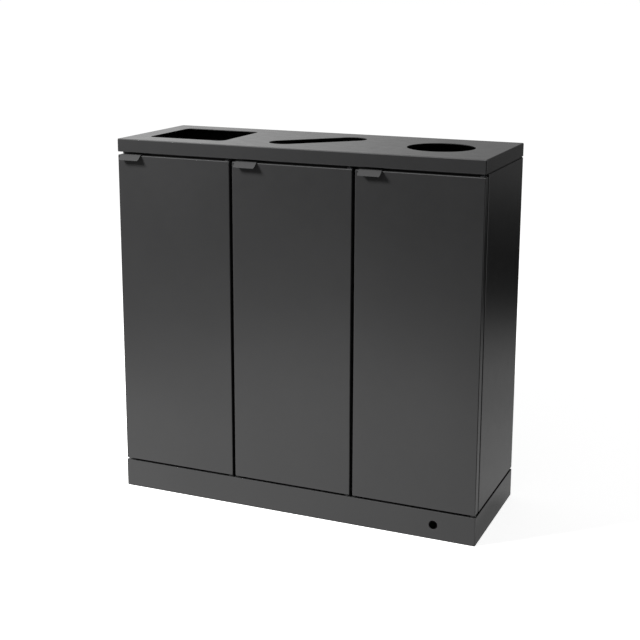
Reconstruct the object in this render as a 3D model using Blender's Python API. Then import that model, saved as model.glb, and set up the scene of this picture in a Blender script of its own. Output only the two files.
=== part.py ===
"""Three-compartment litter and recycling bin: folded steel cabinet on a plinth,
one-piece lid with three differently shaped drop openings, three hinged doors,
and a removable inner bin with a bag frame behind each door.

Metres, +Z up, +X to the viewer's right, the doors face -Y.
Origin: centre of the bounding box on the floor.
"""
import math

import bmesh
import bpy
from mathutils import Vector

# ---------------------------------------------------------------- dimensions
WIDTH = 0.930            # outside, over the side panels
DEPTH = 0.330            # outside, door face to back panel
HEIGHT = 0.900           # floor to lid
TAB_REACH = 0.016        # pull tab stands this far out of the door face

FRONT = -(DEPTH - TAB_REACH) / 2      # door face
BACK = FRONT + DEPTH                  # back face
MID_Y = (FRONT + BACK) / 2            # middle of the lid, front to back
HALF = WIDTH / 2

SHEET = 0.002            # lid, doors, plinth
PANEL = 0.0015           # side, back and partition panels
GAP = 0.0003             # between faces that touch

LID_SKIRT = 0.032        # height of the lid's folded skirt
PLINTH_TOP = 0.070
PLINTH_BOTTOM = 0.001
PLINTH_FLANGE = 0.030
SHELF_INSET = 0.0095        # shelf ends this far inside the cabinet's sides: the shadow gap
PLINTH_HOLE_X = 0.363    # round hole in the plinth's front
PLINTH_HOLE_Z = 0.036
PLINTH_HOLE_R = 0.0105

DOOR_PITCH = 0.3116      # door centre to door centre
DOOR_WIDTH = 0.3044
DOOR_THICK = 0.020
DOOR_BOTTOM = 0.0735
DOOR_TOP = 0.861
PIVOT_IN = 0.008         # hinge axis, in from the door's right edge
PIVOT_BACK = 0.010       # hinge axis, behind the door face

SIDE_FRONT = FRONT + 0.024            # front edge of side panels and shelf
SIDE_BOTTOM = 0.0726
SIDE_TOP = 0.865

OPENING_PITCH = 0.310    # lid opening centre to centre
SQUARE_SIDE = 0.205
SQUARE_RADIUS = 0.016
SLOT_LENGTH = 0.250
SLOT_WIDTH = 0.074
CIRCLE_RADIUS = 0.080

BIN_WIDTH = 0.262
BIN_DEPTH = 0.260
BIN_Y = 0.012            # centre of the inner bins, front to back
BIN_BOTTOM = 0.0726
BIN_RIM = 0.800
BIN_WALL = 0.0025

PIN_R = 0.003
BUSH_BORE = 0.00315
BUSH_R = 0.005

DOORS = {"left": -DOOR_PITCH, "middle": 0.0, "right": DOOR_PITCH}
BINS = {"left": -OPENING_PITCH, "middle": 0.0, "right": OPENING_PITCH}
TAB_INSET = 0.010           # in from the door's left edge
TAB_WIDTH = 0.055
FEET = {"front_left": (-1, -1), "front_right": (1, -1),
        "rear_left": (-1, 1), "rear_right": (1, 1)}
FOOT_X = 0.425
FOOT_INSET_Y = 0.042     # in from the body's front and back

# ---------------------------------------------------------------- clean start
for ob in list(bpy.data.objects):
    bpy.data.objects.remove(ob, do_unlink=True)
for store in (bpy.data.meshes, bpy.data.materials, bpy.data.curves):
    for item in list(store):
        store.remove(item)


# ---------------------------------------------------------------- materials
def material(name, colour, roughness, metallic):
    mat = bpy.data.materials.new(name)
    mat.use_nodes = True
    bsdf = mat.node_tree.nodes["Principled BSDF"]
    bsdf.inputs["Base Color"].default_value = (*colour, 1.0)
    bsdf.inputs["Roughness"].default_value = roughness
    bsdf.inputs["Metallic"].default_value = metallic
    mat.diffuse_color = (*colour, 1.0)
    return mat


COAT = material("charcoal_powder_coat", (0.045, 0.045, 0.046), 0.55, 0.0)
LID_COAT = material("charcoal_powder_coat_lid", (0.055, 0.055, 0.056), 0.50, 0.0)
ZINC = material("zinc_plated_steel", (0.60, 0.61, 0.62), 0.35, 1.0)
NYLON = material("black_nylon", (0.020, 0.020, 0.021), 0.50, 0.0)
BIN_PLASTIC = material("dark_bin_plastic", (0.030, 0.031, 0.032), 0.60, 0.0)
RUBBER = material("black_rubber", (0.015, 0.015, 0.015), 0.80, 0.0)


# ---------------------------------------------------------------- shape tools
def finish(bm, name, mat=None):
    bmesh.ops.recalc_face_normals(bm, faces=bm.faces)
    mesh = bpy.data.meshes.new(name)
    bm.to_mesh(mesh)
    bm.free()
    ob = bpy.data.objects.new(name, mesh)
    bpy.context.scene.collection.objects.link(ob)
    if mat is not None:
        mesh.materials.append(mat)
    return ob


def prism(name, points, axis, lo, hi, mat=None):
    """A polygon swept along X, Y or Z; its points are the other two axes in order."""
    def at(p, s):
        a, b = p
        return {"X": (s, a, b), "Y": (a, s, b), "Z": (a, b, s)}[axis]
    bm = bmesh.new()
    low = [bm.verts.new(at(p, lo)) for p in points]
    high = [bm.verts.new(at(p, hi)) for p in points]
    bm.faces.new(low)
    bm.faces.new(high)
    n = len(points)
    for i in range(n):
        j = (i + 1) % n
        bm.faces.new((low[i], low[j], high[j], high[i]))
    return finish(bm, name, mat)


def block(name, lo, hi, mat=None):
    return prism(name, [(lo[0], lo[1]), (hi[0], lo[1]), (hi[0], hi[1]), (lo[0], hi[1])],
                 "Z", lo[2], hi[2], mat)


def turned(name, profile, centre, segments, mat=None, hollow=False, axis="Z", phase=0.0):
    """A turned solid: (radius, height) points; a hollow one closes its profile."""
    cx, cy, cz = centre
    bm = bmesh.new()
    rings = []
    for r, h in profile:
        if r == 0.0:
            pts = [(0.0, 0.0, h)]
        else:
            pts = [(r * math.cos(phase + 2 * math.pi * k / segments),
                    r * math.sin(phase + 2 * math.pi * k / segments), h)
                   for k in range(segments)]
        ring = []
        for x, y, z in pts:
            if axis == "Y":
                x, y, z = x, z, y
            elif axis == "X":
                x, y, z = z, x, y
            ring.append(bm.verts.new((cx + x, cy + y, cz + z)))
        rings.append(ring)
    pairs = list(zip(rings, rings[1:]))
    if hollow:
        pairs.append((rings[-1], rings[0]))
    for a, b in pairs:
        for k in range(segments):
            m = (k + 1) % segments
            if len(a) == 1:
                bm.faces.new((a[0], b[k], b[m]))
            elif len(b) == 1:
                bm.faces.new((a[k], a[m], b[0]))
            else:
                bm.faces.new((a[k], a[m], b[m], b[k]))
    ob = finish(bm, name, mat)
    ob.data.shade_smooth()
    ob.data.set_sharp_from_angle(angle=math.radians(35))
    return ob


def rounded_rect(cx, cy, hx, hy, r, segments):
    pts = []
    for quarter, (sx, sy) in enumerate(((1, 1), (-1, 1), (-1, -1), (1, -1))):
        for k in range(segments + 1):
            a = math.pi / 2 * (quarter + k / segments)
            pts.append((cx + sx * (hx - r) + r * math.cos(a),
                        cy + sy * (hy - r) + r * math.sin(a)))
    return pts


def loft(name, rings, mat=None, closed=False):
    """Rings of (x, y, z) points joined in order, capped at both ends unless closed."""
    bm = bmesh.new()
    vr = [[bm.verts.new(p) for p in ring] for ring in rings]
    n = len(rings[0])
    pairs = list(zip(vr, vr[1:]))
    if closed:
        pairs.append((vr[-1], vr[0]))
    else:
        bm.faces.new(vr[0])
        bm.faces.new(vr[-1])
    for a, b in pairs:
        for k in range(n):
            m = (k + 1) % n
            bm.faces.new((a[k], a[m], b[m], b[k]))
    ob = finish(bm, name, mat)
    ob.data.shade_smooth()
    ob.data.set_sharp_from_angle(angle=math.radians(35))
    return ob


def boolean(target, tool, operation="DIFFERENCE"):
    """Cut or join with the exact solver, keep the result as the mesh, drop the tool."""
    tool.hide_render = True
    tool.display_type = "WIRE"
    mod = target.modifiers.new("shape", "BOOLEAN")
    mod.operation = operation
    mod.solver = "EXACT"
    mod.object = tool
    bpy.context.view_layer.update()
    graph = bpy.context.evaluated_depsgraph_get()
    mesh = bpy.data.meshes.new_from_object(target.evaluated_get(graph))
    target.modifiers.clear()
    mesh.name = target.name
    target.data = mesh
    bpy.data.objects.remove(tool, do_unlink=True)


def axis_empty(name, location):
    empty = bpy.data.objects.new(name, None)
    empty.location = location
    bpy.context.scene.collection.objects.link(empty)
    return empty


def hang_on(ob, empty):
    """Parent a piece to the empty on its joint's axis, leaving it where it is."""
    shift = Vector(empty.location)
    for v in ob.data.vertices:
        v.co -= shift
    ob.parent = empty


# ---------------------------------------------------------------- plinth
plinth = block("plinth_frame", (-HALF, FRONT, PLINTH_BOTTOM), (HALF, BACK, PLINTH_TOP), COAT)
boolean(plinth, block("cut", (-HALF + SHEET, FRONT + SHEET, PLINTH_BOTTOM - 0.01),
                      (HALF - SHEET, BACK - SHEET, PLINTH_TOP - SHEET)))
boolean(plinth, block("cut", (-HALF + PLINTH_FLANGE, FRONT + PLINTH_FLANGE, PLINTH_TOP - 0.01),
                      (HALF - PLINTH_FLANGE, BACK - PLINTH_FLANGE, PLINTH_TOP + 0.01)))
boolean(plinth, turned("cut", [(0, -0.01), (PLINTH_HOLE_R, -0.01), (PLINTH_HOLE_R, 0.01), (0, 0.01)],
                       (PLINTH_HOLE_X, FRONT, PLINTH_HOLE_Z), 32, axis="Y"))

# shelf that carries the inner bins, with an upturned front lip they are lifted over
SHELF_TOP = PLINTH_TOP + GAP + SHEET
shelf = prism("base_shelf", [
    (SIDE_FRONT, PLINTH_TOP + GAP), (BACK - PANEL - GAP, PLINTH_TOP + GAP),
    (BACK - PANEL - GAP, SHELF_TOP), (SIDE_FRONT + PANEL, SHELF_TOP),
    (SIDE_FRONT + PANEL, SHELF_TOP + 0.012), (SIDE_FRONT, SHELF_TOP + 0.012)],
    "X", -HALF + SHELF_INSET, HALF - SHELF_INSET, COAT)
for sx in (-1, 1):
    x = sx * HALF
    lo, hi = sorted((x + sx * 0.01, x - sx * 0.022))
    boolean(shelf, block("cut", (lo, SIDE_FRONT - 0.01, SHELF_TOP),
                         (hi, SIDE_FRONT + 0.01, SHELF_TOP + 0.05)))

# ---------------------------------------------------------------- body panels
for name, sx in (("left", -1), ("right", 1)):
    o, i = sx * HALF, sx * (HALF - PANEL)
    flange = sx * (HALF - 0.0215)
    rear_flange = sx * (HALF - 0.0165)
    ry = BACK - PANEL - GAP
    prism("side_panel_" + name, [
        (o, SIDE_FRONT), (o, BACK - PANEL), (i, BACK - PANEL), (i, ry),
        (rear_flange, ry), (rear_flange, ry - PANEL), (i, ry - PANEL),
        (i, SIDE_FRONT + PANEL), (flange, SIDE_FRONT + PANEL), (flange, SIDE_FRONT)],
        "Z", SIDE_BOTTOM, SIDE_TOP, COAT)

block("back_panel", (-HALF + PANEL + GAP, BACK - PANEL, SIDE_BOTTOM),
      (HALF - PANEL - GAP, BACK, SIDE_TOP), COAT)

PART_FRONT = SIDE_FRONT + 0.002
PART_TOP = 0.841
for name, x in (("left", -DOOR_PITCH / 2), ("right", DOOR_PITCH / 2)):
    x0, x1 = x - PANEL / 2, x + PANEL / 2
    y1 = BACK - PANEL - 0.004
    prism("partition_" + name, [
        (x0, PART_FRONT), (x1 + 0.0185, PART_FRONT), (x1 + 0.0185, PART_FRONT + PANEL),
        (x1, PART_FRONT + PANEL), (x1, y1 - PANEL), (x1 + 0.015, y1 - PANEL),
        (x1 + 0.015, y1), (x0, y1)],
        "Z", SIDE_BOTTOM, PART_TOP, COAT)

# ---------------------------------------------------------------- top rails
LID_UNDER = HEIGHT - SHEET
RAIL_TOP = LID_UNDER - GAP
HEADER_Z = HEIGHT - LID_SKIRT + 0.0005       # underside of the hinge flange
WEB_Y = SIDE_FRONT + 0.002
front_rail = prism("front_top_rail", [
    (FRONT + SHEET + 0.0005, HEADER_Z), (WEB_Y, HEADER_Z), (WEB_Y, PART_TOP + 0.001),
    (WEB_Y + SHEET, PART_TOP + 0.001), (WEB_Y + SHEET, RAIL_TOP - SHEET),
    (WEB_Y + 0.026, RAIL_TOP - SHEET), (WEB_Y + 0.026, RAIL_TOP), (WEB_Y, RAIL_TOP),
    (WEB_Y, HEADER_Z + SHEET), (FRONT + SHEET + 0.0005, HEADER_Z + SHEET)],
    "X", -HALF + SHEET + 0.0005, HALF - SHEET - 0.0005, COAT)
REAR_WEB = BACK - PANEL - GAP - PANEL - GAP   # outer face of the rear web
rear_rail = prism("rear_top_rail", [
    (REAR_WEB, PART_TOP + 0.001), (REAR_WEB, RAIL_TOP), (REAR_WEB - 0.026, RAIL_TOP),
    (REAR_WEB - 0.026, RAIL_TOP - SHEET), (REAR_WEB - SHEET, RAIL_TOP - SHEET),
    (REAR_WEB - SHEET, PART_TOP + 0.001)],
    "X", -HALF + SHEET + 0.0005, HALF - SHEET - 0.0005, COAT)

# side rails close the seam under the lid's skirt; their flanges stop short of the front and
# rear rails' flanges, their webs run on to the front and rear webs
for name, sx in (("left", -1), ("right", 1)):
    o = sx * (HALF - SHEET - 0.0005)
    y0, y1 = WEB_Y + SHEET + GAP, REAR_WEB - SHEET - GAP
    side_rail = prism("side_top_rail_" + name, [
        (o, PART_TOP + 0.001), (o, RAIL_TOP), (o - sx * 0.020, RAIL_TOP),
        (o - sx * 0.020, RAIL_TOP - SHEET), (o - sx * SHEET, RAIL_TOP - SHEET),
        (o - sx * SHEET, PART_TOP + 0.001)],
        "Y", y0, y1, COAT)
    for a, b in ((y0 - 0.01, WEB_Y + 0.026 + GAP), (REAR_WEB - 0.026 - GAP, y1 + 0.01)):
        boolean(side_rail, block("cut", (min(o, o - sx * 0.03) - 0.01, a, RAIL_TOP - SHEET - GAP),
                                 (max(o, o - sx * 0.03) + 0.01, b, RAIL_TOP + 0.01)))

STUDS = [(sx * 0.420, y) for sx in (-1, 1) for y in (WEB_Y + 0.013, REAR_WEB - 0.013)]
for x, y in STUDS:
    rail = front_rail if y < 0 else rear_rail
    boolean(rail, turned("cut", [(0, -0.01), (0.0034, -0.01), (0.0034, 0.01), (0, 0.01)],
                         (x, y, RAIL_TOP), 16))

# ---------------------------------------------------------------- lid
lid = block("lid", (-HALF, FRONT, HEIGHT - LID_SKIRT), (HALF, BACK, HEIGHT), LID_COAT)
boolean(lid, block("cut", (-HALF + SHEET, FRONT + SHEET, HEIGHT - LID_SKIRT - 0.01),
                   (HALF - SHEET, BACK - SHEET, LID_UNDER)))
boolean(lid, prism("cut", rounded_rect(-OPENING_PITCH, MID_Y, SQUARE_SIDE / 2, SQUARE_SIDE / 2,
                                       SQUARE_RADIUS, 5), "Z", HEIGHT - 0.01, HEIGHT + 0.01))
slot_pts = []
for end, (sx, a0) in enumerate(((1, -math.pi / 4), (-1, 3 * math.pi / 4))):
    half_run = (SLOT_LENGTH - SLOT_WIDTH) / 2 / math.sqrt(2)
    for k in range(17):
        a = a0 + math.pi * k / 16
        slot_pts.append((sx * half_run + SLOT_WIDTH / 2 * math.cos(a),
                         MID_Y + sx * half_run + SLOT_WIDTH / 2 * math.sin(a)))
boolean(lid, prism("cut", slot_pts, "Z", HEIGHT - 0.01, HEIGHT + 0.01))
boolean(lid, turned("cut", [(0, -0.01), (CIRCLE_RADIUS, -0.01), (CIRCLE_RADIUS, 0.01), (0, 0.01)],
                    (OPENING_PITCH, MID_Y, HEIGHT), 48))
for x, y in STUDS:
    boolean(lid, turned("stud", [(0, -0.0185), (0.003, -0.0185), (0.003, 0.001), (0, 0.001)],
                        (x, y, LID_UNDER), 16), "UNION")

for (sx, sy), (x, y) in zip(((-1, -1), (-1, 1), (1, -1), (1, 1)), STUDS):
    name = "lid_nut_%s_%s" % ("front" if sy < 0 else "rear", "left" if sx < 0 else "right")
    nut = prism(name, [(x + 0.0058 * math.cos(math.pi / 3 * k), y + 0.0058 * math.sin(math.pi / 3 * k))
                       for k in range(6)], "Z", RAIL_TOP - SHEET - GAP - 0.005, RAIL_TOP - SHEET - GAP, ZINC)
    boolean(nut, turned("cut", [(0, -0.01), (0.0032, -0.01), (0.0032, 0.01), (0, 0.01)],
                        (x, y, RAIL_TOP - SHEET), 16))

# ---------------------------------------------------------------- doors
for name, cx in DOORS.items():
    x0, x1 = cx - DOOR_WIDTH / 2, cx + DOOR_WIDTH / 2
    px, py = x1 - PIVOT_IN, FRONT + PIVOT_BACK
    axis = axis_empty("door_%s_axis" % name, (px, py, 0.0))

    # folded pan: face and four flanges, open at the back
    door = block("door_" + name, (x0, FRONT, DOOR_BOTTOM), (x1, FRONT + DOOR_THICK, DOOR_TOP), COAT)
    boolean(door, block("cut", (x0 + SHEET, FRONT + SHEET, DOOR_BOTTOM + SHEET),
                        (x1 - SHEET, FRONT + DOOR_THICK + 0.01, DOOR_TOP - SHEET)))
    for z in (DOOR_BOTTOM, DOOR_TOP - SHEET):
        boolean(door, turned("cut", [(0, -0.005), (BUSH_R + 0.0004, -0.005),
                                     (BUSH_R + 0.0004, 0.007), (0, 0.007)], (px, py, z), 20))
    hang_on(door, axis)

    # vertical hat-section stiffener on the inside of the face
    sy0, sy1 = FRONT + SHEET + GAP, FRONT + 0.016
    stiff = prism("door_stiffener_" + name, [
        (cx - 0.035, sy0), (cx - 0.0188, sy0), (cx - 0.0188, sy1 - 0.0012),
        (cx + 0.0188, sy1 - 0.0012), (cx + 0.0188, sy0), (cx + 0.035, sy0),
        (cx + 0.035, sy0 + 0.0012), (cx + 0.020, sy0 + 0.0012), (cx + 0.020, sy1),
        (cx - 0.020, sy1), (cx - 0.020, sy0 + 0.0012), (cx - 0.035, sy0 + 0.0012)],
        "Z", DOOR_BOTTOM + 0.030, DOOR_TOP - 0.030, COAT)
    hang_on(stiff, axis)

    # pull tab: flat leg on the door's top edge, lip sloping out and down
    t0 = x0 + TAB_INSET
    top = DOOR_TOP + GAP
    tab = prism("pull_tab_" + name, [
        (FRONT + 0.017, top), (FRONT - 0.0006, top), (FRONT - TAB_REACH, top - 0.0125),
        (FRONT - TAB_REACH, top - 0.0099), (FRONT - 0.0006, top + 0.0016), (FRONT + 0.017, top + 0.0016)],
        "X", t0, t0 + TAB_WIDTH, COAT)
    tip = top - 0.0125
    r = 0.006
    outline = [(t0 - 0.001, top + 0.01)]
    outline += [(t0 + r + r * math.cos(a), tip + r + r * math.sin(a))
                for a in (math.pi * (1 + k / 12) for k in range(7))]
    outline += [(t0 + TAB_WIDTH - r + r * math.cos(a), tip + r + r * math.sin(a))
                for a in (math.pi * (1.5 + k / 12) for k in range(7))]
    outline += [(t0 + TAB_WIDTH + 0.001, top + 0.01)]
    boolean(tab, prism("shape", outline, "Y", FRONT - 0.05, FRONT + 0.05), "INTERSECT")
    hang_on(tab, axis)

    # steel strike for the magnet: angle under the top flange
    s0 = x0 + 0.050
    z1 = DOOR_TOP - SHEET - GAP
    strike = prism("strike_plate_" + name, [
        (FRONT + 0.004, z1), (FRONT + 0.004, z1 - 0.0015), (FRONT + 0.0178, z1 - 0.0015),
        (FRONT + 0.0178, z1 - 0.026), (FRONT + 0.0193, z1 - 0.026), (FRONT + 0.0193, z1)],
        "X", s0, s0 + 0.040, ZINC)
    hang_on(strike, axis)

    # nylon bushes that turn with the door
    bottom = turned("hinge_bush_bottom_" + name, [
        (BUSH_BORE, PLINTH_TOP + GAP), (0.007, PLINTH_TOP + GAP), (0.007, DOOR_BOTTOM - GAP),
        (BUSH_R, DOOR_BOTTOM - GAP), (BUSH_R, DOOR_BOTTOM + 0.011), (BUSH_BORE, DOOR_BOTTOM + 0.011)],
        (px, py, 0.0), 20, NYLON, hollow=True)
    hang_on(bottom, axis)
    topb = turned("hinge_bush_top_" + name, [
        (BUSH_BORE, DOOR_TOP + GAP + 0.0015), (0.007, DOOR_TOP + GAP + 0.0015), (0.007, DOOR_TOP + GAP),
        (BUSH_R, DOOR_TOP + GAP), (BUSH_R, DOOR_TOP - 0.011), (BUSH_BORE, DOOR_TOP - 0.011)],
        (px, py, 0.0), 20, NYLON, hollow=True)
    hang_on(topb, axis)

    # fixed pins, headed under the plinth flange and over the rail's hinge flange
    for body, z in ((plinth, PLINTH_TOP - SHEET), (front_rail, HEADER_Z)):
        boolean(body, turned("cut", [(0, -0.004), (PIN_R + 0.0004, -0.004),
                                     (PIN_R + 0.0004, 0.006), (0, 0.006)], (px, py, z), 20))
    under = PLINTH_TOP - SHEET - GAP
    turned("hinge_pin_bottom_" + name, [
        (0, under - 0.002), (0.006, under - 0.002), (0.006, under), (PIN_R, under),
        (PIN_R, 0.087), (PIN_R - 0.0008, 0.088), (0, 0.088)], (px, py, 0.0), 20, ZINC)
    over = HEADER_Z + SHEET + GAP
    turned("hinge_pin_top_" + name, [
        (0, over + 0.002), (0.006, over + 0.002), (0.006, over), (PIN_R, over),
        (PIN_R, 0.848), (PIN_R - 0.0008, 0.847), (0, 0.847)], (px, py, 0.0), 20, ZINC)

    # magnet on the rail's web, rubber buffer at the closing edge
    my = WEB_Y - GAP
    magnet = block("magnet_catch_" + name, (s0 - 0.003, FRONT + 0.0198, z1 - 0.017),
                   (s0 + 0.043, my, z1 - 0.003), NYLON)
    boolean(magnet, block("cut", (s0 + 0.004, FRONT + 0.01, z1 - 0.0085),
                          (s0 + 0.036, FRONT + 0.0206, z1 - 0.0065)))
    jamb = SIDE_FRONT if name == "left" else PART_FRONT
    bx = x0 + (0.011 if name == "left" else 0.009)
    turned("door_buffer_" + name, [
        (0, 0.0), (0.005, 0.0), (0.005, -0.0025), (0.0036, -(jamb - GAP - FRONT - DOOR_THICK - 0.0003)),
        (0, -(jamb - GAP - FRONT - DOOR_THICK - 0.0003))],
        (bx, jamb - GAP, 0.150), 16, RUBBER, axis="Y")

# ---------------------------------------------------------------- inner bins
for name, cx in BINS.items():
    lift = axis_empty("inner_bin_%s_axis" % name, (cx, BIN_Y, BIN_BOTTOM))
    hx, hy = BIN_WIDTH / 2, BIN_DEPTH / 2
    lip, foot_in = 0.008, 0.018          # rim lip width, taper to the foot
    w = BIN_WALL
    steps = [  # inset from the rim's outer edge, height, corner radius
        (foot_in + 0.004, BIN_BOTTOM, 0.026), (foot_in, BIN_BOTTOM + 0.004, 0.030),
        (lip, BIN_RIM - 0.014, 0.032), (lip - 0.001, BIN_RIM - 0.010, 0.033),
        (0.0, BIN_RIM - 0.010, 0.040), (0.0, BIN_RIM, 0.040),
        (lip + w, BIN_RIM, 0.0295), (foot_in + w, BIN_BOTTOM + 0.0065, 0.0275)]
    rings = [[(x, y, z) for x, y in rounded_rect(cx, BIN_Y, hx - d, hy - d, r, 4)]
             for d, z, r in steps]
    inner = loft("inner_bin_" + name, rings, BIN_PLASTIC)
    for sy in (-1, 1):                   # hand holes, front and rear
        grip = []
        for k in range(9):
            a = math.pi * (0.5 + k / 8)
            grip.append((cx - 0.034 + 0.014 * math.cos(a), BIN_RIM - 0.048 + 0.014 * math.sin(a)))
        for k in range(9):
            a = math.pi * (1.5 + k / 8)
            grip.append((cx + 0.034 + 0.014 * math.cos(a), BIN_RIM - 0.048 + 0.014 * math.sin(a)))
        y = BIN_Y + sy * (hy - lip)
        boolean(inner, prism("cut", grip, "Y", y - 0.012, y + 0.012))
    hang_on(inner, lift)

    # folded frame that holds the bag's edge down on the rim
    ring_axis = axis_empty("bag_frame_%s_axis" % name, (cx, BIN_Y, BIN_RIM))
    d0, d1, t = 0.002, 0.013, 0.0015
    steps = [(d0, BIN_RIM + GAP, 0.038), (d0, BIN_RIM + GAP + t, 0.038),
             (d1, BIN_RIM + GAP + t, 0.027), (d1, BIN_RIM - 0.016, 0.027),
             (d1 - t, BIN_RIM - 0.016, 0.0285), (d1 - t, BIN_RIM + GAP, 0.0285)]
    rings = [[(x, y, z) for x, y in rounded_rect(cx, BIN_Y, hx - d, hy - d, r, 4)]
             for d, z, r in steps]
    frame = loft("bag_frame_" + name, rings, COAT, closed=True)
    hang_on(frame, ring_axis)

# ---------------------------------------------------------------- levelling feet
for name, (sx, sy) in FEET.items():
    fx = sx * FOOT_X
    fy = (FRONT if sy < 0 else BACK) - sy * FOOT_INSET_Y
    axis = axis_empty("levelling_foot_%s_axis" % name, (fx, fy, 0.0))
    foot = turned("levelling_foot_" + name, [
        (0, 0.0), (0.020, 0.0), (0.020, 0.004), (0.013, 0.0085), (0.0075, 0.0085),
        (0.0075, 0.014), (0.005, 0.014), (0.005, 0.055), (0.0042, 0.056), (0, 0.056)],
        (fx, fy, 0.0), 20, ZINC)
    hang_on(foot, axis)

    # corner gusset with a welded nut, inside the plinth
    ox, oy = sx * (HALF - SHEET - GAP), (FRONT if sy < 0 else BACK) - sy * (SHEET + GAP)
    pts = [(ox, oy), (ox - sx * 0.078, oy), (ox - sx * 0.078, oy - sy * 0.030),
           (ox - sx * 0.034, oy - sy * 0.070), (ox, oy - sy * 0.070)]
    gusset = prism("foot_bracket_" + name, pts, "Z", 0.024, 0.027, ZINC)
    nut = prism("nut", [(fx + 0.0098 * math.cos(math.pi / 3 * k), fy + 0.0098 * math.sin(math.pi / 3 * k))
                        for k in range(6)], "Z", 0.026, 0.035)
    boolean(gusset, nut, "UNION")
    boolean(gusset, turned("cut", [(0, 0.0), (0.0053, 0.0), (0.0053, 0.05), (0, 0.05)],
                           (fx, fy, 0.0), 20))
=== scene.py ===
"""Looks for the three-compartment litter bin: folded powder-coated shells, bins, hardware,
a pale studio floor, soft lights and the camera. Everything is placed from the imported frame."""
import math

import bmesh
import bpy
from mathutils import Matrix, Vector


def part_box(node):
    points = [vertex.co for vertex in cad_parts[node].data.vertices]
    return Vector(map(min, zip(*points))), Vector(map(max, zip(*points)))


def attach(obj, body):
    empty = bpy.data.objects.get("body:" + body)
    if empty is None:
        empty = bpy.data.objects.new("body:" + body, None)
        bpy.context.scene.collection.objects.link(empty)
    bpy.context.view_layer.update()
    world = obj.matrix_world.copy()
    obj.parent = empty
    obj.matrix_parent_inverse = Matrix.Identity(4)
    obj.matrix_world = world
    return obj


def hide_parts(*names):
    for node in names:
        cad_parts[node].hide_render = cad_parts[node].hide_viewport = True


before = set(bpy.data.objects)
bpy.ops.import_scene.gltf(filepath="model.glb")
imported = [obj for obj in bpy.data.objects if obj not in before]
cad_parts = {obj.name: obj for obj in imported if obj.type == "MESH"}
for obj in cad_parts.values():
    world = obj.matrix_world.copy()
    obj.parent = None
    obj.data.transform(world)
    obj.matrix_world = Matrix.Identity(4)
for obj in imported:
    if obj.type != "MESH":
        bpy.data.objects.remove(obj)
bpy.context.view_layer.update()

scene = bpy.context.scene
D3 = ("left", "middle", "right")
F4 = ("front_left", "front_right", "rear_left", "rear_right")

# ------------------------------------------------------------------ dimensions, from the frame
lid_lo, lid_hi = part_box("lid")
pl_lo, pl_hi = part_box("plinth_frame")
SHEET, PANEL = 0.002, 0.0015
FRONT, BACK = pl_lo.y, pl_hi.y
HALF = pl_hi.x
TOP = lid_hi.z
MID_Y = (FRONT + BACK) / 2


# ------------------------------------------------------------------ node materials
def links(mat):
    return mat.node_tree.nodes, mat.node_tree.links


def new_mat(name):
    mat = bpy.data.materials.new(name)
    mat.use_nodes = True
    nt = mat.node_tree
    bsdf = nt.nodes["Principled BSDF"]
    return mat, nt, bsdf


def noise(nt, coords, scale, detail=2.0, rough=0.5, stretch=None):
    n = nt.nodes.new("ShaderNodeTexNoise")
    n.inputs["Scale"].default_value = scale
    n.inputs["Detail"].default_value = detail
    n.inputs["Roughness"].default_value = rough
    src = coords
    if stretch is not None:
        m = nt.nodes.new("ShaderNodeMapping")
        m.inputs["Scale"].default_value = stretch
        nt.links.new(coords, m.inputs["Vector"])
        src = m.outputs["Vector"]
    nt.links.new(src, n.inputs["Vector"])
    return n.outputs["Fac"]


def ramp(nt, fac, stops):
    r = nt.nodes.new("ShaderNodeValToRGB")
    els = r.color_ramp.elements
    while len(els) < len(stops):
        els.new(0.5)
    for el, (pos, col) in zip(els, stops):
        el.position = pos
        el.color = (col, col, col, 1.0) if not isinstance(col, tuple) else (*col, 1.0)
    nt.links.new(fac, r.inputs["Fac"])
    return r.outputs["Color"]


def mrange(nt, fac, a, b, c, d):
    r = nt.nodes.new("ShaderNodeMapRange")
    r.inputs["From Min"].default_value = a
    r.inputs["From Max"].default_value = b
    r.inputs["To Min"].default_value = c
    r.inputs["To Max"].default_value = d
    r.clamp = True
    nt.links.new(fac, r.inputs["Value"])
    return r.outputs["Result"]


def math_node(nt, op, a, b):
    m = nt.nodes.new("ShaderNodeMath")
    m.operation = op
    for i, v in enumerate((a, b)):
        if isinstance(v, (int, float)):
            m.inputs[i].default_value = v
        else:
            nt.links.new(v, m.inputs[i])
    return m.outputs["Value"]


def mix_col(nt, fac, a, b):
    m = nt.nodes.new("ShaderNodeMix")
    m.data_type = "RGBA"
    for sock, v in ((m.inputs[0], fac), (m.inputs[6], a), (m.inputs[7], b)):
        if isinstance(v, (int, float)):
            sock.default_value = v
        elif isinstance(v, tuple):
            sock.default_value = (*v, 1.0)
        else:
            nt.links.new(v, sock)
    return m.outputs[2]


def bump(nt, height, strength, distance, normal=None):
    b = nt.nodes.new("ShaderNodeBump")
    b.inputs["Strength"].default_value = strength
    b.inputs["Distance"].default_value = distance
    nt.links.new(height, b.inputs["Height"])
    if normal is not None:
        nt.links.new(normal, b.inputs["Normal"])
    return b.outputs["Normal"]


def edge_mask(nt, radius, lo, hi):
    """1 along convex and concave edges, from how far a rounded normal turns from the true one."""
    bev = nt.nodes.new("ShaderNodeBevel")
    bev.samples = 4
    bev.inputs["Radius"].default_value = radius
    geo = nt.nodes.new("ShaderNodeNewGeometry")
    dot = nt.nodes.new("ShaderNodeVectorMath")
    dot.operation = "DOT_PRODUCT"
    nt.links.new(bev.outputs["Normal"], dot.inputs[0])
    nt.links.new(geo.outputs["Normal"], dot.inputs[1])
    return mrange(nt, dot.outputs["Value"], hi, lo, 0.0, 1.0)


def coords(nt):
    tc = nt.nodes.new("ShaderNodeTexCoord")
    return tc.outputs["Object"]


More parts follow.
